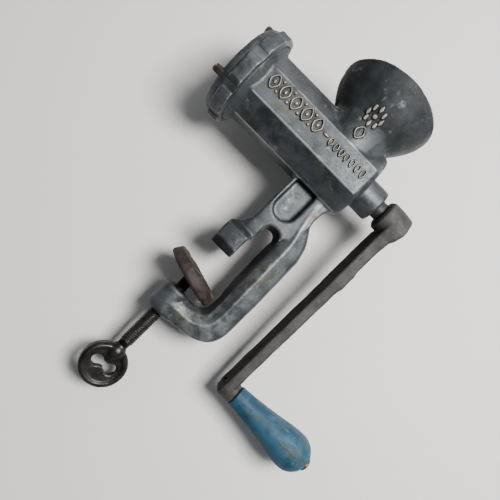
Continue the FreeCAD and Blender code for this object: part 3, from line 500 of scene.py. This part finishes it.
body = copy_of("body_casting", "cast_body")
voxel(body, FINE)
relax(body, 4, 6)
swell(body, 0.00016, 75.0, 2)
v, _ = arrays(body.data)
v = snap_round(v, 0, (0.0, AXIS), 0.0333, -0.0772, -0.0652)
v = snap_round(v, 0, (0.0, AXIS), 0.03115, -0.0772, -0.0680)
v = snap_round(v, 0, (0.0, AXIS), 0.0232, -0.067, 0.035)
v = snap_round(v, 0, (0.0, AXIS), 0.00705, 0.0366, 0.0570)
v = snap_round(v, 2, (0.0, 0.0), 0.0052, -0.0611, -0.0411)
body.data.vertices.foreach_set("co", v.ravel())
body.data.update()
decimate(body, 0.42)


def surface_point(tree, x, z, sign=-1.0):
    """Where the surface is, seen along Y, and which way it faces."""
    hit, nor, _, _ = tree.ray_cast(Vector((x, sign * 0.2, z)), Vector((0.0, -sign, 0.0)))
    return hit, nor


def raised(name, shape, hit, nor, size_u, size_v, height, spin=0.0, up_hint=Vector((0, 0, 1))):
    """A raised cast boss whose outline is a list of (u, v) points in -1..1, with sloping sides."""
    u = up_hint.cross(nor)
    u = (-u).normalized() if u.length > 1e-6 else Vector((1, 0, 0))
    w = nor.cross(u).normalized()
    rings = [(1.0, -0.35), (1.0, 0.10), (0.90, 0.62), (0.72, 0.92), (0.45, 1.0)]
    verts, faces = [], []
    n = len(shape)
    c, s = math.cos(spin), math.sin(spin)
    for scale, h in rings:
        for a, b in shape:
            a, b = a * c - b * s, a * s + b * c
            verts.append(hit + u * (a * size_u * scale) + w * (b * size_v * scale) + nor * (h * height))
    for r in range(len(rings) - 1):
        for i in range(n):
            j = (i + 1) % n
            faces.append((r * n + i, r * n + j, (r + 1) * n + j, (r + 1) * n + i))
    faces.append(tuple((len(rings) - 1) * n + i for i in range(n)))
    faces.append(tuple(reversed(range(n))))
    o = new_object(name, verts, faces)
    bm = bmesh.new()
    bm.from_mesh(o.data)
    bmesh.ops.recalc_face_normals(bm, faces=bm.faces)
    bm.to_mesh(o.data)
    bm.free()
    return o


def lozenge(n=20):
    out = []
    for i in range(n):
        a = 2 * math.pi * i / n
        c, s = math.cos(a), math.sin(a)
        out.append((math.copysign(abs(c) ** 1.35, c), math.copysign(abs(s) ** 1.35, s)))
    return out


def disc(n=16):
    return [(math.cos(2 * math.pi * i / n), math.sin(2 * math.pi * i / n)) for i in range(n)]


tree = BVHTree.FromPolygons([v.co.copy() for v in body.data.vertices], [tuple(p.vertices) for p in body.data.polygons])
relief = []


def band(name, shape, hit, nor, size_u, size_v, height, stroke, spin=0.0):
    """A closed raised line that follows an outline, rounded over on both sides."""
    verts, faces = [], []
    n = len(shape)
    side_u = Vector((0, 0, 1)).cross(nor).normalized() * -1.0
    side_v = nor.cross(side_u).normalized() * -1.0
    cs, sn = math.cos(spin), math.sin(spin)
    profile = [(0.0, -0.8), (0.18, 0.75), (0.5, 1.0), (0.82, 0.75), (1.0, -0.8)]
    for t, h in profile:
        for (a, b) in shape:
            a, b = a * (size_u - t * stroke), b * (size_v - t * stroke)
            verts.append(tuple(hit + side_u * (a * cs - b * sn) + side_v * (a * sn + b * cs) + nor * (h * height)))
    m = len(profile)
    for j in range(m):
        for i in range(n):
            k = (i + 1) % n
            faces.append((j * n + i, j * n + k, ((j + 1) % m) * n + k, ((j + 1) % m) * n + i))
    o = new_object(name, verts, faces)
    bm = bmesh.new()
    bm.from_mesh(o.data)
    bmesh.ops.recalc_face_normals(bm, faces=bm.faces)
    bm.to_mesh(o.data)
    bm.free()
    return o


for i in range(5):
    hit, nor = surface_point(tree, -0.0528 + 0.0101 * i, 0.1036)
    relief.append(band("frame_%d" % i, lozenge(28), hit, nor, 0.0044, 0.0062, 0.0014, 0.0020))
    relief.append(raised("eye_%d" % i, lozenge(), hit, nor, 0.0011, 0.0017, 0.0009))
    if i < 4:
        for dz in (-0.0043, 0.0043):
            hit, nor = surface_point(tree, -0.0528 + 0.0101 * (i + 0.5), 0.1036 + dz)
            relief.append(raised("pellet_%d" % i, disc(), hit, nor, 0.0011, 0.0011, 0.0010))
hit, nor = surface_point(tree, -0.0038, 0.1030)
relief.append(raised("bar", disc(), hit, nor, 0.0026, 0.0009, 0.0009))
for i in range(7):
    hit, nor = surface_point(tree, 0.0018 + 0.0050 * i, 0.1022)
    relief.append(band("small_%d" % i, lozenge(24), hit, nor, 0.0022, 0.0038, 0.0013, 0.0014))
# A rosette on the hopper and a framed lozenge under it
for i in range(8):
    a = math.pi * i / 4
    hit, nor = surface_point(tree, 0.0103 + 0.0058 * math.sin(a), 0.1352 + 0.0058 * math.cos(a))
    relief.append(raised("petal_%d" % i, lozenge(), hit, nor, 0.0014, 0.0030, 0.0011, -a))
hit, nor = surface_point(tree, 0.0103, 0.1352)
relief.append(raised("rosette_eye", disc(), hit, nor, 0.0019, 0.0019, 0.0012))
hit, nor = surface_point(tree, 0.0105, 0.1205)
relief.append(band("hopper_frame", lozenge(28), hit, nor, 0.0042, 0.0056, 0.0013, 0.0019))
plain_count = len(body.data.vertices)
join(body, relief)
masks(body, 10)
v, _ = arrays(body.data)
nor = normals_of(body.data)
# The relief is rubbed bright on top, with a painted highlight there, and soiling with painted shade stands round it and
# on its sides.
tops = KDTree(len(v) - plain_count)
for i in range(plain_count, len(v)):
    tops.insert(Vector(v[i]), i)
tops.balance()
wear_and_highlight, dirt_and_shade = read_mark(body, "wear_and_highlight"), read_mark(body, "dirt_and_shade")
near_relief = np.zeros(len(v))
zone = (v[:, 1] < -0.015) & (v[:, 2] > 0.090) & (v[:, 2] < 0.146) & (np.arange(len(v)) < plain_count)
for i in np.nonzero(zone)[0]:
    near_relief[i] = np.exp(-(tops.find(Vector(v[i]))[2] / 0.0011) ** 2)
dirt_and_shade = np.maximum(dirt_and_shade, 0.62 * near_relief)
# How squarely each face looks to the front: it sets the relief's worn top with its painted highlight, and its darker
# sides.
height = np.clip((-nor[:, 1] - 0.45) / 0.35, 0, 1)
wear_and_highlight[plain_count:] = 0.60 * height[plain_count:]
dirt_and_shade[plain_count:] = 0.55 - 0.50 * height[plain_count:]
collar = (v[:, 0] < -0.0540) & (v[:, 0] > -0.0700) & (np.arange(len(v)) < plain_count)
wear_and_highlight = np.where(collar, 0.0, wear_and_highlight)
# The arm below the barrel is made lighter, more so lower down and to the right.
arm = (v[:, 2] < 0.035) & (v[:, 1] < 0.004)
wear_and_highlight = np.where(arm, np.maximum(wear_and_highlight, 0.24 + 0.15 * np.clip(-v[:, 2] / 0.045, 0, 1) * np.clip((v[:, 0] - 0.008) / 0.010, 0, 1)), wear_and_highlight)
mark(body, "wear_and_highlight", wear_and_highlight)
mark(body, "dirt_and_shade", dirt_and_shade)
# A brass tone on the relief's faces and over the lettered band, and painted golden glints on the arm's lower bend,
# shoulder and ridge.
brass_and_glint = np.zeros(len(v))
brass_and_glint[plain_count:] = 0.85 * height[plain_count:]
for x, z, rx, rz in ((0.0150, -0.0500, 0.0080, 0.0050), (0.0290, 0.0640, 0.0030, 0.0080), (0.0330, 0.0060, 0.0030, 0.0140), (-0.030, 0.1040, 0.0260, 0.0065)):
    brass_and_glint = np.maximum(brass_and_glint, 0.5 * np.exp(-((v[:, 0] - x) / rx) ** 2 - ((v[:, 2] - z) / rz) ** 2) * (v[:, 1] < 0.0))
mark(body, "brass_and_glint", brass_and_glint)
ramp = lambda x, a, b: np.clip((x - a) / (b - a), 0, 1)
# Painted shade: the hopper is darkened from its neck up, more on its left, and so are the foot and the bottom of the
# leg. The barrel is also darker towards its left end.
painted_shade = ramp(v[:, 2], 0.110, 0.132) * (0.92 + 0.08 * ramp(v[:, 0], 0.012, -0.022)) * (1 - 0.22 * ramp(v[:, 0], 0.018, 0.040))
painted_shade = np.maximum(painted_shade, 0.80 * ramp(v[:, 0], 0.012, 0.002) * ramp(v[:, 2], 0.047, 0.034) * (v[:, 2] > 0.0))
painted_shade = np.maximum(painted_shade, 0.35 * ramp(v[:, 0], -0.040, -0.062))
mark(body, "painted_shade", painted_shade)
flat = 0.0268
corner = flat / math.cos(math.radians(22.5))
# Painted highlights along the octagon's edges, stronger on the lower ones, go into the worn-edge mask.
lines = np.zeros(len(v))
for k in range(8):
    a = math.radians(22.5 + 45 * k)
    y, z = corner * math.cos(a), AXIS + corner * math.sin(a)
    lines = np.maximum(lines, (0.55 if z > AXIS else 0.85) * near_line(v, (-0.0590, y, z), (0.0365, y, z), 0.0011))
# Painted highlight along the arm's ridge, on both faces.
RIDGE = [(0.0290, 0.0600, 0.0098), (0.0297, 0.0505, 0.0102), (0.0322, 0.0407, 0.0106), (0.0335, 0.0298, 0.0108),
         (0.0338, 0.0102, 0.0108), (0.0342, -0.0102, 0.0108), (0.0347, -0.0286, 0.0108), (0.0340, -0.0385, 0.0108),
         (0.0304, -0.0456, 0.0108), (0.0228, -0.0497, 0.0108), (0.0123, -0.0510, 0.0109)]
for s in (-1, 1):
    for (xa, za, ya), (xb, zb, yb) in zip(RIDGE[:-1], RIDGE[1:]):
        lines = np.maximum(lines, 0.42 * near_line(v, (xa, s * ya, za), (xb, s * yb, zb), 0.0024))
mark(body, "wear_and_highlight", np.maximum(read_mark(body, "wear_and_highlight"), lines))
# Painted shade on the inner faces of the arm's gap and on the underside of its arch.
inside = (v[:, 0] > 0.0108) & (v[:, 0] < 0.0275) & (v[:, 2] < 0.0400) & (v[:, 2] > -0.0410) & (np.abs(v[:, 1]) < 0.0105)
shade = np.where(inside, np.clip(-nor[:, 0] * 1.3, 0, 1) + np.clip(-nor[:, 2] - 0.2, 0, 1) * (v[:, 2] > 0.02), 0.0)
mark(body, "dirt_and_shade", np.maximum(read_mark(body, "dirt_and_shade"), shade))
# Pale patches: a worn spot in the pocket and a stain on the lower arm, with painted highlights on the arm's rib and
# ridge.
stain_and_highlight = np.zeros(len(v))
for x, z, rx, rz, amount in ((0.0112, 0.0590, 0.0038, 0.0115, 0.62), (0.0118, -0.0505, 0.0060, 0.0042, 0.75), (0.0275, 0.0690, 0.0022, 0.0085, 0.6),
                             (0.0330, 0.0130, 0.0015, 0.0110, 0.5), (0.0355, -0.0300, 0.0040, 0.0035, 0.5)):
    stain_and_highlight = np.maximum(stain_and_highlight, amount * np.exp(-((v[:, 0] - x) / rx) ** 2 - ((v[:, 2] - z) / rz) ** 2) * (v[:, 1] < 0.0))
mark(body, "stain_and_highlight", stain_and_highlight)
dress(body, casting_m)
take(body, "body_casting", "casting")

# ------------------------------------------------------------------ ring nut
ring = copy_of("ring_nut", "lobed_ring")
voxel(ring, 0.00055)
relax(ring, 3, 5)
swell(ring, 0.00022, 120.0, 4)
v, _ = arrays(ring.data)
v = snap_round(v, 0, (0.0, AXIS), 0.0336, -0.0781, -0.0660)
ring.data.vertices.foreach_set("co", v.ravel())
ring.data.update()
decimate(ring, 0.4)
masks(ring, 10, 0.01)
v, _ = arrays(ring.data)
mark(ring, "rust", (-0.0790 - v[:, 0]) / 0.005)
dress(ring, ring_m)
take(ring, "ring_nut", "ring")

# ------------------------------------------------------------------ crank
crank = copy_of("crank_arm", "crank_casting")
# The bar's drafted back edge runs out round the knob instead of stopping above it
toe = []
for z, x0, x1, half, draft in ((-0.0630, 0.0693, 0.0775, 0.0070, 0.0024), (-0.0690, 0.0693, 0.0772, 0.0058, 0.0021), (-0.0715, 0.0697, 0.0766, 0.0034, 0.0012)):
    toe += [(x0 + 0.001, -half, z), (x1 - 0.001, -half, z), (x1, 0.001 - half, z), (x1, half - 0.001, z), (x1 - 0.001, half, z),
            (x0 - draft + 0.001, half, z), (x0 - draft, half - 0.001, z), (x0, 0.001 - half, z)]
faces = [tuple(range(8)), tuple(reversed(range(16, 24)))]
faces += [(r * 8 + i, r * 8 + 8 + i, r * 8 + 8 + (i + 1) % 8, r * 8 + (i + 1) % 8) for r in range(2) for i in range(8)]
toe = new_object("crank_toe", toe, faces)
tm = bmesh.new()
tm.from_mesh(toe.data)
bmesh.ops.recalc_face_normals(tm, faces=tm.faces)
tm.to_mesh(toe.data)
tm.free()
join(crank, [toe])
voxel(crank, 0.0006)
relax(crank, 4, 5)
swell(crank, 0.00022, 90.0, 6)
decimate(crank, 0.35)
masks(crank, 8, 0.01)
v, _ = arrays(crank.data)
# Painted shade on the crank's left-facing sides.
mark(crank, "dirt_and_shade", np.maximum(read_mark(crank, "dirt_and_shade"), 1.1 * np.clip((-normals_of(crank.data)[:, 0] - 0.5) / 0.3, 0, 1)))
dress(crank, crank_m)
take(crank, "crank_arm", "rotor")

# ------------------------------------------------------------------ clamp screw and pad
screw = copy_of("clamp_screw", "clamp_screw_thread")
bm = bmesh.new()
bm.from_mesh(screw.data)
bmesh.ops.remove_doubles(bm, verts=bm.verts, dist=1e-7)
lower = bm.copy()
cut_z = -0.0965
out = bmesh.ops.bisect_plane(bm, geom=bm.verts[:] + bm.edges[:] + bm.faces[:], plane_co=(0, 0, cut_z), plane_no=(0, 0, -1),
                             clear_outer=True)
bmesh.ops.holes_fill(bm, edges=[e for e in bm.edges if e.is_boundary])
bm.to_mesh(screw.data)
bm.free()
head = bpy.data.objects.new("screw_head", bpy.data.meshes.new("screw_head"))
scene.collection.objects.link(head)
bmesh.ops.bisect_plane(lower, geom=lower.verts[:] + lower.edges[:] + lower.faces[:], plane_co=(0, 0, cut_z + 0.0012),
                       plane_no=(0, 0, 1), clear_outer=True)
bmesh.ops.holes_fill(lower, edges=[e for e in lower.edges if e.is_boundary])
lower.to_mesh(head.data)
lower.free()
voxel(head, 0.0005)
relax(head, 4, 5)
swell(head, 0.00015, 130.0, 9)
decimate(head, 0.4)
join(screw, [head])
masks(screw, 6, 0.006)
dress(screw, dark_m)
take(screw, "clamp_screw", "screw")

pad = copy_of("swivel_pad", "rusted_pad")
voxel(pad, 0.0005)
relax(pad, 4, 4)
swell(pad, 0.00045, 140.0, 11)
decimate(pad, 0.4)
masks(pad, 6, 0.01)
dress(pad, pad_m)
take(pad, "swivel_pad", "pad")

# ------------------------------------------------------------------ feed screw, knife and the rest keep their CAD shape
for name, material in (("feed_screw", screw_m), ("cutting_plate", plate_m), ("cross_knife", bare_m), ("knife_stud", bare_m),
                       ("thrust_washer", bare_m), ("plate_peg", bare_m), ("crank_set_screw", bare_m),
                       ("grip_washer", spindle_m), ("grip_spindle", spindle_m), ("pad_rivet", dark_m), ("wooden_grip", paint_m)):
    dress_node(name, material)


# ------------------------------------------------------------------ floor, light
def plain(name, colour, rough=0.8):
    k = Nodes(name)
    k.put(k.shader.inputs["Base Color"], (*colour, 1.0))
    k.shader.inputs["Roughness"].default_value = rough
    return k


FLOOR_Y = 0.0475
floor = new_object("floor", [(x, FLOOR_Y + 0.125 * (z - 0.1), z) for x, z in ((-0.9, -0.9), (0.9, -0.9), (0.9, 0.9), (-0.9, 0.9))], [(0, 1, 2, 3)], False)
k = plain("pale_floor", (0.62, 0.612, 0.60))
clear = k.t.nodes.new("ShaderNodeBsdfTransparent")
both = k.t.nodes.new("ShaderNodeMixShader")
geo = k.t.nodes.new("ShaderNodeNewGeometry")
k.link(geo.outputs["Backfacing"], both.inputs[0])
k.link(k.shader.outputs[0], both.inputs[1])
k.link(clear.outputs[0], both.inputs[2])
k.link(both.outputs[0], k.t.nodes["Material Output"].inputs["Surface"])
floor.data.materials.append(k.m)
floor.visible_shadow = False

world = bpy.data.worlds.new("studio")
scene.world = world
world.use_nodes = True
wt = world.node_tree
bg = wt.nodes["Background"]
tc = wt.nodes.new("ShaderNodeTexCoord")
dot = wt.nodes.new("ShaderNodeVectorMath")
dot.operation = "DOT_PRODUCT"
dot.inputs[1].default_value = (0.30, -0.75, 0.59)
wt.links.new(tc.outputs["Generated"], dot.inputs[0])
mr = wt.nodes.new("ShaderNodeMapRange")
mr.interpolation_type = "SMOOTHSTEP"
mr.inputs["From Min"].default_value = -0.8
mr.inputs["From Max"].default_value = 1.0
mr.inputs["To Min"].default_value = 0.015
mr.inputs["To Max"].default_value = 0.23
wt.links.new(dot.outputs["Value"], mr.inputs["Value"])
wt.links.new(mr.outputs[0], bg.inputs["Strength"])
bg.inputs["Color"].default_value = (0.94, 0.97, 1.0, 1.0)


def area(name, where, aim, energy, size, colour=(1, 1, 1), height=None):
    l = bpy.data.lights.new(name, "AREA")
    l.energy = energy
    l.color = colour
    l.size = size
    if height:
        l.shape = "RECTANGLE"
        l.size_y = height
    o = bpy.data.objects.new(name, l)
    o.location = where
    o.rotation_mode = "QUATERNION"
    o.rotation_quaternion = (Vector(where) - Vector(aim)).to_track_quat("Z", "Y")
    scene.collection.objects.link(o)
    return o


area("key", (0.33, -0.85, 0.38), (0.02, 0.0, 0.03), 17.0, 0.38, (1.0, 0.985, 0.965))
area("left_soft", (-0.62, -0.60, 0.10), (0.0, 0.0, 0.03), 0.5, 0.45, (0.96, 0.98, 1.0))
area("top_soft", (0.05, -0.10, 0.85), (0.0, 0.0, 0.05), 1.2, 0.5, (1.0, 1.0, 1.0))
area("rear_fill", (0.30, 0.80, 0.40), (0.0, 0.0, 0.03), 8.0, 0.8, (1.0, 1.0, 1.0))

scene.view_settings.view_transform = "AgX"
scene.view_settings.look = "AgX - Medium High Contrast"
